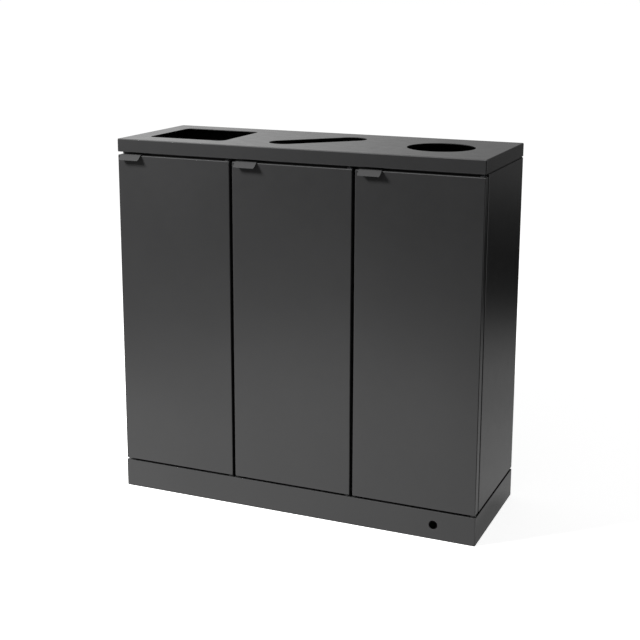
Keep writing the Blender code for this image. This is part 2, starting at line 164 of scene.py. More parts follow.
def powder_coat(name, base, rough, spec=0.5, grain=0.16, wear=0.35):
    mat, nt, bsdf = new_mat(name)
    c = coords(nt)
    broad = noise(nt, c, 5.0, 3.0, 0.55)
    cloud = noise(nt, c, 38.0, 3.0, 0.6)
    speck = noise(nt, c, 1500.0, 1.0, 0.5)
    tint = mrange(nt, broad, 0.3, 0.7, 0.0, 1.0)
    b0 = tuple(v * 0.94 for v in base)
    b1 = tuple(v * 1.06 for v in base)
    col = mix_col(nt, tint, b0, b1)
    col = mix_col(nt, mrange(nt, speck, 0.62, 0.80, 0.0, 0.22), col, tuple(v * 2.2 for v in base))
    edge = edge_mask(nt, 0.0012, 0.80, 0.985)
    scuff = math_node(nt, "MULTIPLY", edge, mrange(nt, cloud, 0.45, 0.70, 0.0, wear))
    col = mix_col(nt, scuff, col, tuple(min(1.0, v * 4.0) for v in base))
    nt.links.new(col, bsdf.inputs["Base Color"])
    r = mrange(nt, cloud, 0.3, 0.7, rough - 0.025, rough + 0.025)
    r = math_node(nt, "ADD", r, math_node(nt, "MULTIPLY", scuff, 0.25))
    nt.links.new(r, bsdf.inputs["Roughness"])
    bsdf.inputs["Specular IOR Level"].default_value = spec
    peel = noise(nt, c, 620.0, 2.0, 0.5)
    wave = noise(nt, c, 26.0, 1.0, 0.4)
    n = bump(nt, wave, 0.05, 0.0006)
    n = bump(nt, peel, grain, 0.00012, n)
    nt.links.new(n, bsdf.inputs["Normal"])
    return mat


def plated(name, base, rough):
    mat, nt, bsdf = new_mat(name)
    c = coords(nt)
    bsdf.inputs["Metallic"].default_value = 1.0
    f = noise(nt, c, 140.0, 3.0, 0.6)
    col = mix_col(nt, mrange(nt, f, 0.35, 0.7, 0.0, 1.0), tuple(x * 0.86 for x in base), tuple(x * 1.08 for x in base))
    r = mrange(nt, f, 0.3, 0.7, rough - 0.05, rough + 0.08)
    edge = edge_mask(nt, 0.0008, 0.80, 0.985)
    col = mix_col(nt, math_node(nt, "MULTIPLY", edge, 0.35), col, tuple(min(1.0, x * 1.35) for x in base))
    nt.links.new(col, bsdf.inputs["Base Color"])
    nt.links.new(r, bsdf.inputs["Roughness"])
    fine = noise(nt, c, 900.0, 2.0, 0.5)
    nt.links.new(bump(nt, fine, 0.12, 0.0001), bsdf.inputs["Normal"])
    return mat


def moulded(name, base, rough, grain=0.25, scale=480.0):
    mat, nt, bsdf = new_mat(name)
    c = coords(nt)
    broad = noise(nt, c, 9.0, 3.0, 0.6)
    col = mix_col(nt, mrange(nt, broad, 0.3, 0.7, 0.0, 1.0), tuple(x * 0.88 for x in base), tuple(x * 1.12 for x in base))
    edge = edge_mask(nt, 0.0012, 0.80, 0.985)
    scuffs = noise(nt, c, 60.0, 4.0, 0.7, (1.0, 1.0, 0.12))
    scuff = mrange(nt, scuffs, 0.60, 0.78, 0.0, 0.35)
    both = math_node(nt, "MAXIMUM", scuff, math_node(nt, "MULTIPLY", edge, 0.4))
    col = mix_col(nt, both, col, tuple(min(1.0, x * 2.4 + 0.01) for x in base))
    nt.links.new(col, bsdf.inputs["Base Color"])
    nt.links.new(mrange(nt, broad, 0.3, 0.7, rough - 0.05, rough + 0.06), bsdf.inputs["Roughness"])
    bsdf.inputs["Specular IOR Level"].default_value = 0.42
    fine = noise(nt, c, scale, 2.0, 0.5)
    nt.links.new(bump(nt, fine, grain, 0.0002), bsdf.inputs["Normal"])
    return mat


COAT = powder_coat("powder_coat_charcoal", (0.0200, 0.0200, 0.0203), 0.20)
ZINC = plated("zinc_plate", (0.56, 0.57, 0.58), 0.30)
NYLON = moulded("nylon_black", (0.014, 0.014, 0.015), 0.48, 0.10)
PLASTIC = moulded("bin_polypropylene", (0.0085, 0.0087, 0.0090), 0.52, 0.30)
DARKZINC = plated("zinc_black_passivated", (0.035, 0.036, 0.038), 0.38)
RUBBER = moulded("rubber_black", (0.010, 0.010, 0.010), 0.75, 0.35, 700.0)


# ------------------------------------------------------------------ mesh tools
def make(name, bm, mat, angle=32.0, weighted=True):
    bmesh.ops.recalc_face_normals(bm, faces=bm.faces)
    me = bpy.data.meshes.new(name)
    bm.to_mesh(me)
    bm.free()
    ob = bpy.data.objects.new(name, me)
    scene.collection.objects.link(ob)
    me.materials.append(mat)
    me.shade_smooth()
    me.set_sharp_from_angle(angle=math.radians(angle))
    if weighted:
        w = ob.modifiers.new("even_shading", "WEIGHTED_NORMAL")
        w.keep_sharp = True
        w.weight = 80
    return ob


def soften(ob, width, segments=2, angle=50.0):
    b = ob.modifiers.new("edge_round", "BEVEL")
    b.width = width
    b.segments = segments
    b.limit_method = "ANGLE"
    b.angle_limit = math.radians(angle)
    b.use_clamp_overlap = True
    w = ob.modifiers.new("even_shading", "WEIGHTED_NORMAL")
    w.keep_sharp = True
    w.weight = 80
    return ob


def bake_modifiers(ob):
    bpy.context.view_layer.update()
    graph = bpy.context.evaluated_depsgraph_get()
    me = bpy.data.meshes.new_from_object(ob.evaluated_get(graph))
    ob.modifiers.clear()
    old = ob.data
    ob.data = me
    me.name = ob.name
    bpy.data.meshes.remove(old)


def rrect(hx, hy, r, seg):
    r = max(r, 0.00035)
    pts = []
    for q, (sx, sy) in enumerate(((1, 1), (-1, 1), (-1, -1), (1, -1))):
        for k in range(seg + 1):
            a = math.pi / 2 * (q + k / seg)
            pts.append((sx * (hx - r) + r * math.cos(a), sy * (hy - r) + r * math.sin(a)))
    return pts


def bridge(bm, a, b):
    n = len(a)
    for k in range(n):
        m = (k + 1) % n
        bm.faces.new((a[k], a[m], b[m], b[k]))


def pan(name, hx, hy, depth, t, r, place, mat, rc=None, seg=7, hem=None):
    """A tray folded from sheet: flat face at w = 0, rounded folds, walls to w = depth.
    place maps local (u, v, w) to the row frame."""
    rc = rc if rc is not None else r + 0.0006
    e = hem or min(0.00045, t * 0.3)
    steps = []
    n = 8
    for k in range(n + 1):
        a = math.pi / 2 * k / n
        steps.append((r * (1 - math.sin(a)), r * (1 - math.cos(a))))
    for k in range(4):
        a = math.pi / 2 * k / 3
        steps.append((e * (1 - math.cos(a)), depth - e + e * math.sin(a)))
    for k in range(4):
        a = math.pi / 2 * k / 3
        steps.append((t - e + e * math.sin(a), depth - e + e * math.cos(a)))
    ri = max(r - t, 0.0006)
    for k in range(n // 2 + 1):
        a = math.pi / 2 * (1 - k / (n // 2))
        steps.append((t + ri * (1 - math.sin(a)), t + ri * (1 - math.cos(a))))
    bm = bmesh.new()
    rings = []
    for inset, w in steps:
        rings.append([bm.verts.new(place(u, v, w)) for u, v in rrect(hx - inset, hy - inset, rc - inset, seg)])
    for a, b in zip(rings, rings[1:]):
        bridge(bm, a, b)
    bm.faces.new(rings[0])
    bm.faces.new(list(reversed(rings[-1])))
    return make(name, bm, mat)


def fillet(path, radius, seg):
    """An open 2-D line with its corners rounded: a list of (point, normal)."""
    pts = [Vector(p) for p in path]
    out = []

    def norm(d):
        return Vector((-d.y, d.x))
    for i, p in enumerate(pts):
        if i == 0:
            out.append((p, norm((pts[1] - p).normalized())))
        elif i == len(pts) - 1:
            out.append((p, norm((p - pts[i - 1]).normalized())))
        else:
            d0, d1 = (p - pts[i - 1]).normalized(), (pts[i + 1] - p).normalized()
            turn = d0.angle_signed(d1)          # clockwise positive
            cut = radius * math.tan(abs(turn) / 2)
            a, n0, n1 = p - d0 * cut, norm(d0), norm(d1)
            side = -1.0 if turn > 0 else 1.0    # centre on the inner side
            centre = a + n0 * radius * side
            for k in range(seg + 1):
                f = k / seg
                n = n0.copy()
                n.rotate(Matrix.Rotation(-turn * f, 2))
                out.append((centre - n * radius * side, n))
    return out


def folded(name, path, t, bend, axis, lo, hi, mat, seg=5, soft=0.00025):
    """Sheet folded along its mid-line, drawn in the plane across `axis` and swept from lo to hi."""
    line = fillet(path, bend, seg)
    left = [p + n * (t / 2) for p, n in line]
    right = [p - n * (t / 2) for p, n in reversed(line)]
    ring = left + right

    def at(p, s):
        return {"X": (s, p.x, p.y), "Y": (p.x, s, p.y), "Z": (p.x, p.y, s)}[axis]
    bm = bmesh.new()
    a = [bm.verts.new(at(p, lo)) for p in ring]
    b = [bm.verts.new(at(p, hi)) for p in ring]
    bm.faces.new(a)
    bm.faces.new(list(reversed(b)))
    bridge(bm, a, b)
    ob = make(name, bm, mat, weighted=False)
    return soften(ob, soft)


def lathe(name, profile, centre, segments, mat, hollow=False, angle=32.0):
    cx, cy, cz = centre
    bm = bmesh.new()
    rings = []
    for r, h in profile:
        n = 1 if r == 0.0 else segments
        rings.append([bm.verts.new((cx + r * math.cos(2 * math.pi * k / segments),
                                    cy + r * math.sin(2 * math.pi * k / segments), cz + h)) for k in range(n)])
    pairs = list(zip(rings, rings[1:]))
    if hollow:
        pairs.append((rings[-1], rings[0]))
    for a, b in pairs:
        for k in range(segments):
            m = (k + 1) % segments
            if len(a) == 1:
                bm.faces.new((a[0], b[k], b[m]))
            elif len(b) == 1:
                bm.faces.new((a[k], a[m], b[0]))
            else:
                bm.faces.new((a[k], a[m], b[m], b[k]))
    return make(name, bm, mat, angle)


def cut(ob, cutter, edge=0.0004, test=None):
    """Cuts a hole and rounds its new edges slightly."""
    before = {tuple(round(c, 6) for c in v.co) for v in ob.data.vertices}
    m = ob.modifiers.new("hole", "BOOLEAN")
    m.operation = "DIFFERENCE"
    m.solver = "EXACT"
    m.object = cutter
    # the hole is cut before the shading modifier
    names = [x.name for x in ob.modifiers]
    if len(names) > 1:
        ob.modifiers.move(len(names) - 1, 0)
    keep = [x for x in ob.modifiers if x.type != "BOOLEAN"]
    for x in keep:
        x.show_viewport = False
    bake = [x for x in ob.modifiers if x.type == "BOOLEAN"]
    bpy.context.view_layer.update()
    graph = bpy.context.evaluated_depsgraph_get()
    me = bpy.data.meshes.new_from_object(ob.evaluated_get(graph))
    ob.modifiers.remove(bake[0])
    for x in keep:
        x.show_viewport = True
    old = ob.data
    ob.data = me
    me.name = ob.name
    bpy.data.meshes.remove(old)
    bpy.data.objects.remove(cutter, do_unlink=True)
    if edge:
        bm = bmesh.new()
        bm.from_mesh(me)
        picked = []
        for ed in bm.edges:
            new = all(tuple(round(c, 6) for c in v.co) not in before for v in ed.verts)
            if new and len(ed.link_faces) == 2 and ed.calc_face_angle(0.0) > math.radians(60):
                picked.append(ed)
        bmesh.ops.bevel(bm, geom=picked, offset=edge, segments=3, profile=0.5, affect="EDGES", clamp_overlap=True)
        bmesh.ops.recalc_face_normals(bm, faces=bm.faces)
        bm.to_mesh(me)
        bm.free()
        me.shade_smooth()
        me.set_sharp_from_angle(angle=math.radians(32))


def poly_prism(points, axis, lo, hi):
    def at(p, s):
        return {"X": (s, p[0], p[1]), "Y": (p[0], s, p[1]), "Z": (p[0], p[1], s)}[axis]
    bm = bmesh.new()
    a = [bm.verts.new(at(p, lo)) for p in points]
    b = [bm.verts.new(at(p, hi)) for p in points]
    bm.faces.new(a)
    bm.faces.new(b)
    bridge(bm, a, b)
    bmesh.ops.recalc_face_normals(bm, faces=bm.faces)
    me = bpy.data.meshes.new("tool")
    bm.to_mesh(me)
    bm.free()
    ob = bpy.data.objects.new("tool", me)
    scene.collection.objects.link(ob)
    return ob


def stand_for(ob, body, slot, *nodes):
    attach(ob, body)
    if nodes:
        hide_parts(*nodes)
    return ob


CS = "charcoal_powder_coat"

# ------------------------------------------------------------------ lid
lid = pan("lid_shell", HALF, (lid_hi.y - lid_lo.y) / 2, lid_hi.z - lid_lo.z, SHEET, 0.0026,
          lambda u, v, w: (u, MID_Y + v, TOP - w), COAT, hem=0.00095)
OPEN_X = 0.310
cut(lid, poly_prism([(-OPEN_X + x, MID_Y + y) for x, y in rrect(0.1025, 0.1025, 0.016, 14)],
                    "Z", TOP - 0.01, TOP + 0.01))
slot_pts = []
run = (0.250 - 0.074) / 2 / math.sqrt(2)
for sgn, a0 in ((1, -math.pi / 4), (-1, 3 * math.pi / 4)):
    for k in range(41):
        a = a0 + math.pi * k / 40
        slot_pts.append((sgn * run + 0.037 * math.cos(a), MID_Y + sgn * run + 0.037 * math.sin(a)))
cut(lid, poly_prism(slot_pts, "Z", TOP - 0.01, TOP + 0.01))
cut(lid, poly_prism([(OPEN_X + 0.080 * math.cos(2 * math.pi * k / 144), MID_Y + 0.080 * math.sin(2 * math.pi * k / 144))
                     for k in range(144)], "Z", TOP - 0.01, TOP + 0.01))
# open corners where the skirts meet
for sx in (-1, 1):
    for sy, y in ((-1, lid_lo.y), (1, lid_hi.y)):
        h, w = 0.0034, 0.00065
        cx, cy = sx * HALF, y
        u, v = (sx / math.sqrt(2), sy / math.sqrt(2)), (-sy / math.sqrt(2), sx / math.sqrt(2))
        pts = [(cx + u[0] * a + v[0] * b, cy + u[1] * a + v[1] * b) for a, b in ((0.004, -w), (0.004, w), (-h, w), (-h, -w))]
        cut(lid, poly_prism(pts, "Z", lid_lo.z - 0.003, TOP - 0.0016), 0)
stand_for(lid, "cabinet", CS, "lid")

# ------------------------------------------------------------------ plinth
def plinth_shell():
    hx, hy = HALF, (BACK - FRONT) / 2
    z0, z1 = pl_lo.z, pl_hi.z
    r, rc, t, fl, e = 0.0011, 0.0032, SHEET, 0.030, 0.0004
    steps = []
    for k in range(4):
        a = math.pi / 2 * k / 3
        steps.append((e * (1 - math.sin(a)), z0 + e * (1 - math.cos(a))))
    for k in range(7):
        a = math.pi / 2 * k / 6
        steps.append((r * (1 - math.cos(a)), z1 - r + r * math.sin(a)))
    steps.append((fl - e, z1))
    steps.append((fl, z1 - e))
    steps.append((fl, z1 - t + e))
    steps.append((fl - e, z1 - t))
    ri = 0.0006
    for k in range(4):
        a = math.pi / 2 * k / 3
        steps.append((t + ri * (1 - math.sin(a)), z1 - t - ri * (1 - math.cos(a))))
    steps.append((t, z0 + e))
    steps.append((t - e, z0))
    bm = bmesh.new()
    rings = []
    for inset, z in steps:
        rings.append([bm.verts.new((u, MID_Y + v, z)) for u, v in rrect(hx - inset, hy - inset, rc - inset, 7)])
    for a, b in zip(rings, rings[1:] + rings[:1]):
        bridge(bm, a, b)
    return make("plinth_shell", bm, COAT)


plinth = plinth_shell()
HX, HZ, HR = 0.363, 0.036, 0.0105
cut(plinth, poly_prism([(HX + HR * math.cos(2 * math.pi * k / 64), HZ + HR * math.sin(2 * math.pi * k / 64))
                        for k in range(64)], "Y", FRONT - 0.01, FRONT + 0.01), 0.0005)
for d in D3:
    plo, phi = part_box("hinge_pin_bottom_" + d)
    x, y = (plo.x + phi.x) / 2, (plo.y + phi.y) / 2
    cut(plinth, poly_prism([(x + 0.0034 * math.cos(2 * math.pi * k / 32), y + 0.0034 * math.sin(2 * math.pi * k / 32))
                            for k in range(32)], "Z", pl_hi.z - 0.006, pl_hi.z + 0.004), 0.0002)
stand_for(plinth, "cabinet", CS, "plinth_frame")

# ------------------------------------------------------------------ doors
for d in D3:
    a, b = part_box("door_" + d)
    a.z += 0.0010                       # keeps the dark line over the plinth crisp
    cx, cz = (a.x + b.x) / 2, (a.z + b.z) / 2
    door = pan("door_shell_" + d, (b.x - a.x) / 2, (b.z - a.z) / 2, b.y - a.y, SHEET, 0.0022,
               lambda u, v, w, cx=cx, cz=cz, y=a.y: (cx + u, y + w, cz + v), COAT)
    plo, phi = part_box("hinge_pin_bottom_" + d)
    px, py = (plo.x + phi.x) / 2, (plo.y + phi.y) / 2
    for z in (a.z, b.z - SHEET):
        cut(door, poly_prism([(px + 0.0054 * math.cos(2 * math.pi * k / 40), py + 0.0054 * math.sin(2 * math.pi * k / 40))
                              for k in range(40)], "Z", z - 0.004, z + 0.006), 0.0002)
    stand_for(door, "door_leaf_" + d, CS, "door_" + d)

# ------------------------------------------------------------------ folded panels and rails
for d, sx in (("left", -1), ("right", 1)):
    a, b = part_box("side_panel_" + d)
    t = PANEL
    xo = sx * (HALF - t / 2)
    yf, yb = a.y + t / 2, BACK - t - 0.0003 - t / 2
    path = [(sx * (HALF - 0.0215), yf), (xo, yf), (xo, yb), (sx * (HALF - 0.0165), yb)]
    ob = folded("side_shell_" + d, path, t, 0.0021, "Z", a.z + 0.0044, b.z, COAT)
    stand_for(ob, "cabinet", CS, "side_panel_" + d)



def keep(node, mat, round_by=0.0003):
    """A CAD node carried over as it is, with its material and rounded edges."""
    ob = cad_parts[node]
    ob.data.materials.clear()
    ob.data.materials.append(mat)
    soften(ob, round_by)


def partition(d):
    a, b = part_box("partition_" + d)
    t = PANEL
    x = a.x + t / 2
    path = [(b.x - 0.0035, b.y - t / 2), (x, b.y - t / 2), (x, a.y + t / 2), (b.x, a.y + t / 2)]
    ob = folded("partition_shell_" + d, path, t, 0.0021, "Z", a.z, b.z, COAT)
    stand_for(ob, "cabinet", CS, "partition_" + d)


for d in ("left", "right"):
    partition(d)
for n in ("back_panel", "base_shelf", "front_top_rail", "rear_top_rail", "side_top_rail_left", "side_top_rail_right"):
    keep(n, COAT, 0.0004)

# angles along the shelf's ends close the seam under the side panels
sh_lo, sh_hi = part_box("base_shelf")
for d, sx in (("left", -1), ("right", 1)):
    t = 0.0015
    z, x = pl_hi.z + 0.0003 + SHEET + t / 2 + 0.00005, sh_hi.x - t / 2
    path = [(sx * (x - 0.011), z), (sx * x, z), (sx * x, z + 0.0245)]
    ob = folded("shelf_end_angle_" + d, path, t, 0.0018, "Y", sh_lo.y + 0.004, sh_hi.y - 0.004, COAT)
    stand_for(ob, "cabinet", CS)
# and a strip along its rear edge closes the seam under the back panel
bm = bmesh.new()
y0, y1, z0, z1 = sh_hi.y - 0.0032, sh_hi.y - 0.0017, pl_hi.z + 0.0003 + SHEET + 0.00005, pl_hi.z + 0.016
rings = [[bm.verts.new((x, y, z)) for y, z in ((y0, z0), (y1, z0), (y1, z1), (y0, z1))] for x in (sh_lo.x + 0.002, sh_hi.x - 0.002)]
bridge(bm, rings[0], rings[1])
bm.faces.new(list(reversed(rings[0])))
bm.faces.new(rings[1])
strip = make("shelf_rear_strip", bm, COAT)
soften(strip, 0.0004)
stand_for(strip, "cabinet", CS)

for d in D3:
    body = "door_leaf_" + d
    # pull tab: flat leg, bend, sloping lip with rounded corners
    a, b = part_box("pull_tab_" + d)
    t, top = 0.0016, b.z - 0.0016
    tab = folded("pull_tab_shell_" + d, [(b.y, top + t / 2), (FRONT - 0.0006, top + t / 2), (a.y + 0.0005, top - 0.0112)],
                 t, 0.0020, "X", a.x, b.x, COAT, seg=6, soft=0.00035)
    r, low = 0.006, a.z - 0.0003
    outline = [(a.x - 0.001, top + 0.01)]
    outline += [(a.x + r + r * math.cos(q), low + r + r * math.sin(q)) for q in (math.pi * (1 + k / 24) for k in range(13))]
    outline += [(b.x - r + r * math.cos(q), low + r + r * math.sin(q)) for q in (math.pi * (1.5 + k / 24) for k in range(13))]
    outline += [(b.x + 0.001, top + 0.01)]
    tool = poly_prism(outline, "Y", FRONT - 0.05, FRONT + 0.05)
    mods = [m for m in tab.modifiers]
    for m in mods:
        tab.modifiers.remove(m)
    m = tab.modifiers.new("outline", "BOOLEAN")
    m.operation, m.solver, m.object = "INTERSECT", "EXACT", tool
    bake_modifiers(tab)
    bpy.data.objects.remove(tool, do_unlink=True)
    soften(tab, 0.00035, 2, 40)
    stand_for(tab, body, CS, "pull_tab_" + d)

    # hat-section stiffener
    a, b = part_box("door_stiffener_" + d)
    cx, t = (a.x + b.x) / 2, 0.0012
    path = [(a.x, a.y + t / 2), (cx - 0.0194, a.y + t / 2), (cx - 0.0194, b.y - t / 2), (cx + 0.0194, b.y - t / 2),
            (cx + 0.0194, a.y + t / 2), (b.x, a.y + t / 2)]
    ob = folded("door_stiffener_shell_" + d, path, t, 0.0016, "Z", a.z, b.z, COAT)
    stand_for(ob, body, CS, "door_stiffener_" + d)

    # strike angle for the magnet
    a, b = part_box("strike_plate_" + d)
    t = 0.0015
    ob = folded("strike_shell_" + d, [(a.y, b.z - t / 2), (b.y - t / 2, b.z - t / 2), (b.y - t / 2, a.z)], t, 0.0019,
                "X", a.x, b.x, ZINC)
    stand_for(ob, body, "zinc_plated_steel", "strike_plate_" + d)

    # hinge bushes and pins
    for end in ("bottom", "top"):
        a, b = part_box("hinge_bush_%s_%s" % (end, d))
        px, py = (a.x + b.x) / 2, (a.y + b.y) / 2
        c = 0.0003
        if end == "bottom":
            z0, zf, z1 = a.z, a.z + 0.0029, b.z
            prof = [(0.00315 + c, z0), (0.007 - c, z0), (0.007, z0 + c), (0.007, zf - c), (0.007 - c, zf), (0.005, zf),
                    (0.005, z1 - 0.0008), (0.0045, z1), (0.00315 + c, z1), (0.00315, z1 - c), (0.00315, z0 + c)]
        else:
            z1, zf, z0 = b.z, b.z - 0.0015, a.z
            prof = [(0.00315 + c, z0), (0.0045, z0), (0.005, z0 + 0.0008), (0.005, zf), (0.007 - c, zf), (0.007, zf + c),
                    (0.007, z1 - c), (0.007 - c, z1), (0.00315 + c, z1), (0.00315, z1 - c), (0.00315, z0 + c)]
        ob = lathe("hinge_bush_shell_%s_%s" % (end, d), prof, (px, py, 0), 48, NYLON, hollow=True)
        stand_for(ob, body, "black_nylon", "hinge_bush_%s_%s" % (end, d))
        a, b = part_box("hinge_pin_%s_%s" % (end, d))
        c = 0.0004
        if end == "bottom":
            prof = [(0, a.z), (0.006 - c, a.z), (0.006, a.z + c), (0.006, a.z + 0.002 - c), (0.006 - c, a.z + 0.002),
                    (0.003, a.z + 0.002), (0.003, b.z - 0.001), (0.0022, b.z), (0, b.z)]
        else:
            prof = [(0, b.z), (0.006 - c, b.z), (0.006, b.z - c), (0.006, b.z - 0.002 + c), (0.006 - c, b.z - 0.002),
                    (0.003, b.z - 0.002), (0.003, a.z + 0.001), (0.0022, a.z), (0, a.z)]
        ob = lathe("hinge_pin_shell_%s_%s" % (end, d), prof, (px, py, 0), 48, DARKZINC)
        stand_for(ob, "cabinet", "zinc_plated_steel", "hinge_pin_%s_%s" % (end, d))
    keep("magnet_catch_" + d, NYLON, 0.0004)
    keep("door_buffer_" + d, RUBBER, 0.0004)


# ------------------------------------------------------------------ inner bins and bag frames
def loft(name, cx, cy, hx, hy, steps, mat, seg=12, closed=False, caps=True):
    bm = bmesh.new()
    rings = [[bm.verts.new((cx + u, cy + v, z)) for u, v in rrect(hx - d, hy - d, r, seg)] for d, z, r in steps]
    for a, b in zip(rings, rings[1:]):
        bridge(bm, a, b)
    if closed:
        bridge(bm, rings[-1], rings[0])
    else:
        bm.faces.new(rings[0])
        bm.faces.new(list(reversed(rings[-1])))
    return make(name, bm, mat)


for d in D3:
    a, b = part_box("inner_bin_" + d)
    cx, cy, hx, hy = (a.x + b.x) / 2, (a.y + b.y) / 2, (b.x - a.x) / 2, (b.y - a.y) / 2
    z0, z1 = a.z, b.z
    foot, lipw, w = 0.018, 0.008, 0.0025

    def taper(z):
        return foot + (lipw - foot) * (z - z0 - 0.004) / (z1 - 0.014 - z0 - 0.004)
    steps = [(foot + 0.012, z0 + 0.0012, 0.018), (foot + 0.010, z0, 0.020), (foot + 0.004, z0, 0.026)]
    for k in range(1, 6):
        q = math.pi / 2 * k / 5
        steps.append((foot + 0.004 * (1 - math.sin(q)), z0 + 0.004 * (1 - math.cos(q)), 0.030))
    for zr in (z0 + 0.10, z0 + 0.112, z1 - 0.112, z1 - 0.100):        # two shallow rings moulded into the wall
        steps += [(taper(zr - 0.004), zr - 0.004, 0.030), (taper(zr) + 0.0010, zr - 0.001, 0.0295),
                  (taper(zr) + 0.0010, zr + 0.001, 0.0295), (taper(zr + 0.004), zr + 0.004, 0.030)]
    steps += [(lipw + 0.0002, z1 - 0.0155, 0.032), (lipw - 0.0008, z1 - 0.0128, 0.033), (lipw - 0.0020, z1 - 0.0115, 0.034),
              (0.0030, z1 - 0.0110, 0.037), (0.0012, z1 - 0.0110, 0.0388), (0.0004, z1 - 0.0106, 0.0396), (0.0, z1 - 0.0098, 0.040),
              (0.0, z1 - 0.0030, 0.040), (0.0006, z1 - 0.0010, 0.0394), (0.0018, z1 - 0.0002, 0.0382), (0.0030, z1, 0.037),
              (lipw - 0.0005, z1, 0.0325), (lipw + 0.0012, z1 - 0.0006, 0.0305), (lipw + w - 0.0002, z1 - 0.0028, 0.0295)]
    steps += [(foot + w, z0 + 0.0105, 0.0275), (foot + w + 0.0012, z0 + 0.0077, 0.0262), (foot + w + 0.004, z0 + 0.0065, 0.0235)]
    ob = loft("inner_bin_shell_" + d, cx, cy, hx, hy, steps, PLASTIC)
    for sy in (-1, 1):
        grip = []
        for k in range(21):
            q = math.pi * (0.5 + k / 20)
            grip.append((cx - 0.034 + 0.014 * math.cos(q), z1 - 0.048 + 0.014 * math.sin(q)))
        for k in range(21):
            q = math.pi * (1.5 + k / 20)
            grip.append((cx + 0.034 + 0.014 * math.cos(q), z1 - 0.048 + 0.014 * math.sin(q)))
        y = cy + sy * (hy - lipw)
        cut(ob, poly_prism(grip, "Y", y - 0.012, y + 0.012), 0.0006)
    stand_for(ob, "bin_" + d, "bin_plastic", "inner_bin_" + d)

    a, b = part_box("bag_frame_" + d)
    cx, cy = (a.x + b.x) / 2, (a.y + b.y) / 2
    hx, hy = (b.x - a.x) / 2, (b.y - a.y) / 2
    t, w, zt, zb = 0.0015, 0.011, b.z, a.z
    c = 0.0004
    steps = [(c, zt - t, 0.0376), (0, zt - t + c, 0.038), (0, zt - c, 0.038), (c, zt, 0.0376)]
    for k in range(6):
        q = math.pi / 2 * k / 5
        steps.append((w - 0.002 + 0.002 * math.sin(q), zt - 0.002 * (1 - math.cos(q)), 0.0275 + 0.0015 * (1 - k / 5)))
    steps += [(w, zb + c, 0.027), (w - c, zb, 0.0274), (w - t + c, zb, 0.0281), (w - t, zb + c, 0.0285), (w - t, zt - t, 0.0285)]
    ob = loft("bag_frame_shell_" + d, cx, cy, hx, hy, steps, COAT, closed=True)
    stand_for(ob, "bag_holder_" + d, CS, "bag_frame_" + d)

# ------------------------------------------------------------------ levelling feet
for f4 in F4:
    a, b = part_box("levelling_foot_" + f4)
    fx, fy = (a.x + b.x) / 2, (a.y + b.y) / 2
    prof = [(0, 0.0), (0.0188, 0.0), (0.0197, 0.0003), (0.020, 0.0010), (0.020, 0.0034), (0.0195, 0.0042), (0.0135, 0.0080),
            (0.0128, 0.0085), (0.0060, 0.0085)]
    z = 0.0144
    prof += [(0.0060, 0.0135), (0.0042, 0.0140)]
    while z < 0.0535:                                             # thread, as turned grooves
        prof += [(0.0042, z), (0.0050, z + 0.0006), (0.0050, z + 0.0008), (0.0042, z + 0.0014)]
        z += 0.0015
    prof += [(0.0042, 0.0552), (0.0036, b.z), (0, b.z)]
    ob = lathe("levelling_foot_shell_" + f4, prof, (fx, fy, 0), 48, ZINC)
    hexa = [(fx + 0.0080 * math.cos(math.pi / 3 * k), fy + 0.0080 * math.sin(math.pi / 3 * k)) for k in range(6)]
    nut = poly_prism(hexa, "Z", 0.0087, 0.0138)
    nut.name = "levelling_foot_nut_" + f4
    nut.data.materials.append(ZINC)
    soften(nut, 0.0004, 2, 30)
    stand_for(ob, "foot_" + f4, "zinc_plated_steel", "levelling_foot_" + f4)
    stand_for(nut, "foot_" + f4, "zinc_plated_steel")
    keep("foot_bracket_" + f4, ZINC, 0.0004)
for n in [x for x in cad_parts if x.startswith("lid_nut")]:
    keep(n, ZINC, 0.0003)

# ------------------------------------------------------------------ stage
def plane(name, cx, cy, z, sx, sy):
    bm = bmesh.new()
    vs = [bm.verts.new((cx + x * sx / 2, cy + y * sy / 2, z)) for x, y in ((-1, -1), (1, -1), (1, 1), (-1, 1))]
    bm.faces.new(vs)
    me = bpy.data.meshes.new(name)
    bm.to_mesh(me)
    bm.free()
    ob = bpy.data.objects.new(name, me)
    scene.collection.objects.link(ob)
    return ob


floor = plane("studio_floor", 0, 0, 0, 160, 160)


def sep(nt, vec):
    n = nt.nodes.new("ShaderNodeSeparateXYZ")
    nt.links.new(vec, n.inputs["Vector"])
    return n.outputs["X"], n.outputs["Y"], n.outputs["Z"]


def curve(nt, fac, lo, hi, stops, gain=2.5):
    """A piecewise curve of fac: stops are (value of fac, level)."""
    t = mrange(nt, fac, lo, hi, 0.0, 1.0)
    c = ramp(nt, t, [((p - lo) / (hi - lo), v / gain) for p, v in stops])
    return math_node(nt, "MULTIPLY", c, gain)


# brightness of the surroundings against the sideways direction, before and behind the bin
AHEAD = [(-1.0, 1.10), (-0.70, 0.95), (-0.55, 0.50), (-0.50, 0.36), (-0.38, 0.24), (-0.27, 0.14), (-0.10, 0.36), (0.10, 0.38),
         (0.22, 0.22), (0.50, 0.12), (0.80, 0.25), (0.92, 0.70), (1.0, 0.95)]
BEHIND = [(-1.0, 1.00), (-0.62, 0.86), (-0.50, 0.72), (-0.38, 0.49), (-0.27, 0.31), (0.0, 0.19), (0.24, 0.08),
          (0.36, 0.15), (0.60, 0.75), (1.0, 0.95)]


def blend(nt, fac, a, b):
    """a where fac is 0, b where it is 1."""
    return math_node(nt, "ADD", math_node(nt, "MULTIPLY", a, math_node(nt, "SUBTRACT", 1.0, fac)),
                     math_node(nt, "MULTIPLY", b, fac))


def surround(nt, x, back):
    return blend(nt, back, curve(nt, x, -1.0, 1.0, AHEAD), curve(nt, x, -1.0, 1.0, BEHIND))


